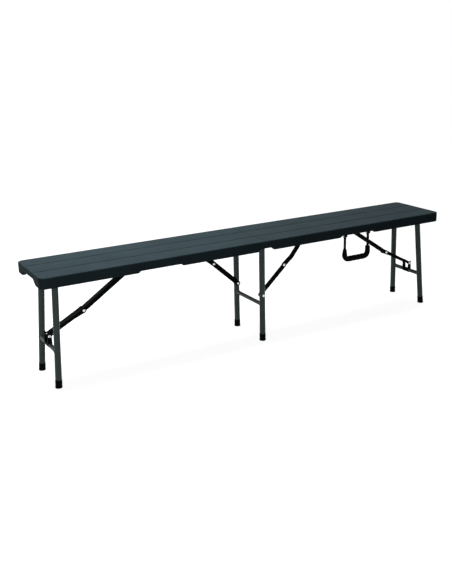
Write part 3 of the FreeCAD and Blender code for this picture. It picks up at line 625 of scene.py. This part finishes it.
def seat_half():
    """The right half as one closed surface, with planks, a skirt, cut-outs, the channel and tack-offs."""
    bm = bmesh.new()
    centres = tack_centres()
    along, across = seat_lines(centres)
    columns = len(along)
    rows = len(across)
    skirt = []
    for place, out, rise, drop in skirt_stations(along, across):
        profile = skirt_profile(SEAT_LOW.z + rise, drop)
        skirt.append([bm.verts.new((*(place - out * inset), height)) for inset, height in profile])
    bridged(bm, skirt, closed=False)

    top = surface_grid(bm, along, across, top_height)
    stitched(bm, top, [section[0] for section in skirt], columns, rows, set())

    under = surface_grid(bm, along, across, under_height)
    cells = [(cell_lines(along, x), cell_lines(across, y)) for x, y in centres]
    skipped = {(i, j) for cell_i, cell_j in cells for i in range(*cell_i) for j in range(*cell_j)}
    stitched(bm, under, [section[-1] for section in skirt], columns, rows, skipped)
    for centre, (cell_i, cell_j) in zip(centres, cells):
        tack_cone(bm, cell_sides(under, cell_i, cell_j), centre)

    seam = skirt[0] + [under[0, j] for j in range(rows)] + skirt[-1][::-1]
    bm.faces.new(seam + [top[0, j] for j in reversed(range(rows))])
    bmesh.ops.delete(bm, geom=[vert for vert in bm.verts if not vert.link_faces], context="VERTS")
    return bm


def seat_halves():
    """Both halves of the seat. The left one is the right one after half a turn about Z."""
    for side in ("right", "left"):
        bm = seat_half()
        if side == "left":
            half_turn = Matrix.Rotation(math.pi, 3, "Z")
            bmesh.ops.rotate(bm, cent=(0, 0, 0), matrix=half_turn, verts=bm.verts)
        piece = shaded(new_piece(side + "_seat_shell", bm), SEAT_DEGREES)
        placed(piece, side + "_half", [side + "_seat_panel"], SEAT)


# Steel parts
def is_bend(edge, half):
    """Whether an edge is one of the long outer bends along the top of a channel of some half width."""
    if edge.calc_length() < BEND_LEAST_LENGTH or len(edge.link_faces) != 2:
        return False
    if any(abs(abs(vert.co.y) - half) > TOUCHING for vert in edge.verts):
        return False
    return max(face.normal.z for face in edge.link_faces) > BEND_UPWARD


def rounded(bm, edges, radius, segments):
    """Round some edges of a bmesh."""
    bmesh.ops.bevel(bm, geom=edges, offset=radius, offset_type="OFFSET", segments=segments, profile=0.5,
                    affect="EDGES", clamp_overlap=False)
    bm.normal_update()


def softened(node, bend=False):
    """A copy of a steel node with rounded edges, and with a wider radius along a channel's bends."""
    bm = bmesh.new()
    bm.from_mesh(frame["nodes"][node].data)
    bmesh.ops.remove_doubles(bm, verts=bm.verts, dist=SAME_POINT)
    bmesh.ops.dissolve_limit(bm, angle_limit=math.radians(FLAT_DEGREES), verts=bm.verts, edges=bm.edges)
    bm.normal_update()
    if bend:
        half = max(abs(vert.co.y) for vert in bm.verts)
        rounded(bm, [edge for edge in bm.edges if is_bend(edge, half)], BEND_RADIUS, BEND_SEGMENTS)
    limit = math.radians(PLATE_DEGREES)
    sharp = [edge for edge in bm.edges if len(edge.link_faces) == 2 and edge.calc_face_angle(0.0) > limit]
    rounded(bm, sharp, PLATE_EDGE, PLATE_SEGMENTS)
    piece = shaded(new_piece(node + "_formed", bm), FORMED_DEGREES)
    placed(piece, BODY_OF[node], [node], STAY if "stay" in node else FRAME_WITH_PAINTED_LIGHT)


def steel_parts():
    """The channels, flat bars, plates and brackets."""
    for node in sorted(frame["nodes"]):
        if node.endswith(CHANNEL_NODES):
            softened(node, bend=True)
        elif node.endswith(BAR_NODES + PLATE_NODES):
            softened(node)


# Feet and welds
def leg_line(group, row):
    """The centre line of a leg, from its top to its sole."""
    flip = Matrix.Diagonal((X_SIGNS[group], Y_SIGNS[row], 1))
    top, sole = (MIDDLE_TOP, MIDDLE_SOLE) if group == "middle" else (END_PIVOT, END_SOLE)
    return flip @ top, flip @ sole


def capped(bm, rings):
    """Skin a row of rings of vertices, and close both ends."""
    bridged(bm, rings, closed=True)
    bm.faces.new(rings[0])
    bm.faces.new(rings[-1])


def foot_cap(bm, top, sole):
    """A moulded cap on the end of a tube: a rolled lip, a bead, a flare and a flat sole on the floor."""
    up = (top - sole).normalized()
    across = up.cross(Vector((0, 1, 0))).normalized()
    beside = up.cross(across)
    rings = []
    for height in (FOOT_FLOOR, FOOT_MOUTH):
        rings.append(ring_of(bm, sole + up * height, across, beside, FOOT_BORE, FOOT_SIDES))
    for radius_mm, height_mm in FOOT_LIP + FOOT_BEAD + FOOT_FLARE + FOOT_ROUND:
        height = height_mm * MM
        ring = ring_of(bm, sole + up * height, across, beside, radius_mm * MM, FOOT_SIDES)
        share = max(0.0, 1 - height / FOOT_LEVELLED)
        for vert in ring:
            vert.co += up * ((height - vert.co.z) / up.z) * share
        rings.append(ring)
    capped(bm, rings)


def feet():
    """A cap on each of the six legs."""
    for group in ("middle", "left_end", "right_end"):
        for row in Y_SIGNS:
            node = group + "_" + row + "_foot"
            bm = bmesh.new()
            foot_cap(bm, *leg_line(group, row))
            piece = shaded(new_piece(node + "_cap", bm), FORMED_DEGREES)
            placed(piece, BODY_OF[node], [node], FOOT)


def nearest_on_line(place, line):
    """The nearest point to a place on a line through two points."""
    start, end = line
    run = (end - start).normalized()
    return start + run * (place - start).dot(run)


def weld_bead(bm, centre, leg, inward):
    """A rippled bead where a crossbar along Y meets the inward side of a leg."""
    rings = []
    for number in range(WELD_STATIONS):
        angle = 2 * math.pi * number / WELD_STATIONS
        out = Vector((math.cos(angle), 0, math.sin(angle)))
        start = centre + out * CROSSBAR_RADIUS
        reach = 0.0
        for _ in range(WELD_SEARCH_STEPS):
            place = start + inward * reach
            offset = place - nearest_on_line(place, leg)
            reach += TUBE_RADIUS - offset.length if offset.dot(inward) > 0 else TUBE_RADIUS
        radius = WELD_RADIUS * (1 + WELD_RIPPLE * math.sin(WELD_RIPPLES * angle))
        rings.append(ring_of(bm, start + inward * reach, out, Vector((0, -1, 0)), radius, WELD_SIDES))
    bridged(bm, rings + rings[:1], closed=True)


def welds():
    """The beads at the ends of the three crossbars."""
    for group in X_SIGNS:
        low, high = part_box(group + "_crossbar")
        bar = (low + high) / 2
        bm = bmesh.new()
        for row, y_sign in Y_SIGNS.items():
            top, sole = leg_line(group, row)
            run = sole - top
            leg_y = top.y + run.y * (bar.z - top.z) / run.z
            weld_bead(bm, Vector((bar.x, leg_y, bar.z)), (top, sole), Vector((0, -y_sign, 0)))
        piece = shaded(new_piece(group + "_welds", bm), WELD_DEGREES)
        placed(piece, BODY_OF[group + "_crossbar"], [], FRAME_WITH_PAINTED_LIGHT)


# Handle grip
def grip_line():
    """The U of the grip's centre line: (distance right of its middle, height above its bar)."""
    arc = []
    for number in range(1, GRIP_CORNER_STEPS):
        angle = math.pi / 2 * number / GRIP_CORNER_STEPS
        across = GRIP_BAR_HALF + GRIP_CORNER * math.sin(angle)
        height = GRIP_CORNER - GRIP_CORNER * math.cos(angle)
        arc.append((across, height))
    line = [(-HANDLE_HALF_SPAN, GRIP_CORNER + rise) for rise in (GRIP_RISE, 0.0)]
    line += [(-across, height) for across, height in reversed(arc)]
    line += [(across, 0.0) for across in steps(-GRIP_BAR_HALF, GRIP_BAR_HALF, GRIP_BAR_PITCH)]
    line += arc
    line += [(HANDLE_HALF_SPAN, GRIP_CORNER + rise) for rise in steps(0.0, GRIP_RISE, GRIP_ARM_PITCH)]
    return line


def grip_radius(across, height):
    """The grip's radius at a point of its line: swells along the bar, slimmer arms and rolled lips."""
    share = (across + GRIP_BAR_HALF) / (2 * GRIP_BAR_HALF)
    if 0 < share < 1:
        return GRIP_RADIUS - GRIP_SWELL * (0.5 + 0.5 * math.cos(2 * math.pi * GRIP_SWELLS * share))
    radius = GRIP_RADIUS - GRIP_SWELL - GRIP_TAPER * height / (2 * GRIP_RISE)
    tip = GRIP_CORNER + GRIP_RISE - height
    if tip < GRIP_LIP:
        radius -= GRIP_LIP - math.sqrt(max(0.0, GRIP_LIP ** 2 - (GRIP_LIP - tip) ** 2))
    return radius


def grip():
    """The moulded grip on the handle's bar and arms."""
    low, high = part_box("handle_grip")
    bar = Vector(((low.x + high.x) / 2, (low.y + high.y) / 2, low.z + GRIP_RADIUS))
    line = grip_line()
    points = [bar + Vector((across, 0, height)) for across, height in line]
    sideways = Vector((0, 1, 0))
    bm = bmesh.new()
    rings = []
    last = len(points) - 1
    for number, (across, height) in enumerate(line):
        run = (points[min(number + 1, last)] - points[max(number - 1, 0)]).normalized()
        radius = grip_radius(across, height)
        rings.append(ring_of(bm, points[number], run.cross(sideways), sideways, radius, GRIP_SIDES))
    capped(bm, rings)
    piece = shaded(new_piece("handle_grip_moulding", bm), FORMED_DEGREES)
    placed(piece, BODY_OF["handle_grip"], ["handle_grip"], GRIP)


# Finishes of the nodes that stay
def finish_nodes():
    """Every node of the frame gets a material by its name."""
    for name, piece in frame["nodes"].items():
        material = FRAME_WITH_PAINTED_LIGHT
        if name.endswith("seat_panel"):
            material = SEAT
        elif name.endswith("_foot"):
            material = FOOT
        elif name == "handle_grip":
            material = GRIP
        elif "rivet" in name or name.endswith(("_pins", "_screws")):
            material = ZINC
        elif "stay" in name or name.startswith("handle"):
            material = STAY
        if not piece.material_slots:
            piece.data.materials.append(material)
        for slot in piece.material_slots:
            slot.material = material


# Camera, lights and floor
def camera():
    """The camera at the photograph's place, angle and framing."""
    level = math.cos(CAMERA_PITCH)
    ahead = Vector((math.sin(CAMERA_YAW) * level, math.cos(CAMERA_YAW) * level, math.sin(CAMERA_PITCH)))
    right = Vector((math.cos(CAMERA_YAW), -math.sin(CAMERA_YAW), 0))
    up = right.cross(ahead)
    rolled_right = math.cos(CAMERA_ROLL) * right + math.sin(CAMERA_ROLL) * up
    rolled_up = -math.sin(CAMERA_ROLL) * right + math.cos(CAMERA_ROLL) * up
    data = bpy.data.cameras.new("camera")
    data.sensor_width = SENSOR
    data.lens = SENSOR * FOCAL_PIXELS / IMAGE_HEIGHT
    data.shift_x = -VIEW_CENTRE_OFFSET / IMAGE_HEIGHT
    data.clip_end = VIEW_DEPTH
    viewer = bpy.data.objects.new("camera", data)
    turn = Matrix((rolled_right, rolled_up, -ahead)).transposed().to_4x4()
    viewer.matrix_world = Matrix.Translation(CAMERA_PLACE) @ turn
    bpy.context.scene.collection.objects.link(viewer)
    bpy.context.scene.camera = viewer


def softbox(name, place, target, size, power):
    """A rectangular lamp that faces a point."""
    data = bpy.data.lights.new(name, "AREA")
    data.shape = "RECTANGLE"
    data.size, data.size_y = size
    data.energy = power
    lamp = bpy.data.objects.new(name, data)
    lamp.location = place
    lamp.rotation_mode = "QUATERNION"
    lamp.rotation_quaternion = (Vector(target) - Vector(place)).to_track_quat("-Z", "Y")
    bpy.context.scene.collection.objects.link(lamp)


def seen_ray(tree):
    """1 for camera, glossy and transmission rays, and 0 for the rays that light the object."""
    path = tree.nodes.new("ShaderNodeLightPath")
    total = path.outputs["Is Camera Ray"]
    for kind in ("Is Glossy Ray", "Is Transmission Ray"):
        larger = tree.nodes.new("ShaderNodeMath")
        larger.operation = "MAXIMUM"
        tree.links.new(total, larger.inputs[0])
        tree.links.new(path.outputs[kind], larger.inputs[1])
        total = larger.outputs[0]
    return total


def white_world():
    """A world that is white where it is seen and gives little light."""
    world = bpy.data.worlds.new("studio")
    bpy.context.scene.world = world
    world.use_nodes = True
    tree = world.node_tree
    backdrop = tree.nodes["Background"]
    backdrop.inputs["Color"].default_value = (1, 1, 1, 1)
    level = tree.nodes.new("ShaderNodeMapRange")
    level.inputs["To Min"].default_value = WORLD_LIGHT
    level.inputs["To Max"].default_value = 1.0
    tree.links.new(seen_ray(tree), level.inputs["Value"])
    tree.links.new(level.outputs["Result"], backdrop.inputs["Strength"])


def floor_material():
    """A floor that looks pale, turning white away from the bench, and throws little light back on it."""
    material = bpy.data.materials.new("floor")
    material.use_nodes = True
    tree = material.node_tree
    nodes = tree.nodes
    links = tree.links
    dark = nodes["Principled BSDF"]
    dark.inputs["Base Color"].default_value = (FLOOR_LIT, FLOOR_LIT, FLOOR_LIT, 1)
    dark.inputs["Roughness"].default_value = 1.0
    dark.inputs["Specular IOR Level"].default_value = 0.0
    pale = nodes.new("ShaderNodeBsdfDiffuse")
    pale.inputs["Color"].default_value = (FLOOR_SEEN, FLOOR_SEEN, FLOOR_SEEN, 1)
    glow = nodes.new("ShaderNodeEmission")
    place = nodes.new("ShaderNodeTexCoord")
    reach = nodes.new("ShaderNodeVectorMath")
    reach.operation = "LENGTH"
    fade = nodes.new("ShaderNodeMapRange")
    fade.inputs["From Min"].default_value = FLOOR_NEAR
    fade.inputs["From Max"].default_value = FLOOR_FAR
    fade.inputs["To Min"].default_value = FLOOR_GLOW_NEAR
    fade.inputs["To Max"].default_value = 1.0
    links.new(place.outputs["Object"], reach.inputs[0])
    links.new(reach.outputs["Value"], fade.inputs["Value"])
    links.new(fade.outputs["Result"], glow.inputs["Strength"])
    seen = nodes.new("ShaderNodeAddShader")
    links.new(pale.outputs[0], seen.inputs[0])
    links.new(glow.outputs[0], seen.inputs[1])
    mix = nodes.new("ShaderNodeMixShader")
    links.new(seen_ray(tree), mix.inputs[0])
    links.new(dark.outputs[0], mix.inputs[1])
    links.new(seen.outputs[0], mix.inputs[2])
    links.new(mix.outputs[0], nodes["Material Output"].inputs["Surface"])
    return material


def studio():
    """White world, pale floor and soft lamps."""
    white_world()
    bm = bmesh.new()
    bmesh.ops.create_grid(bm, x_segments=1, y_segments=1, size=FLOOR_HALF)
    floor = new_piece("floor", bm)
    floor.data.materials.append(floor_material())
    for lamp in LAMPS:
        softbox(*lamp)


seat_halves()
steel_parts()
feet()
welds()
grip()
finish_nodes()
camera()
studio()

bpy.context.scene.view_settings.view_transform = "Standard"

bpy.context.view_layer.update()
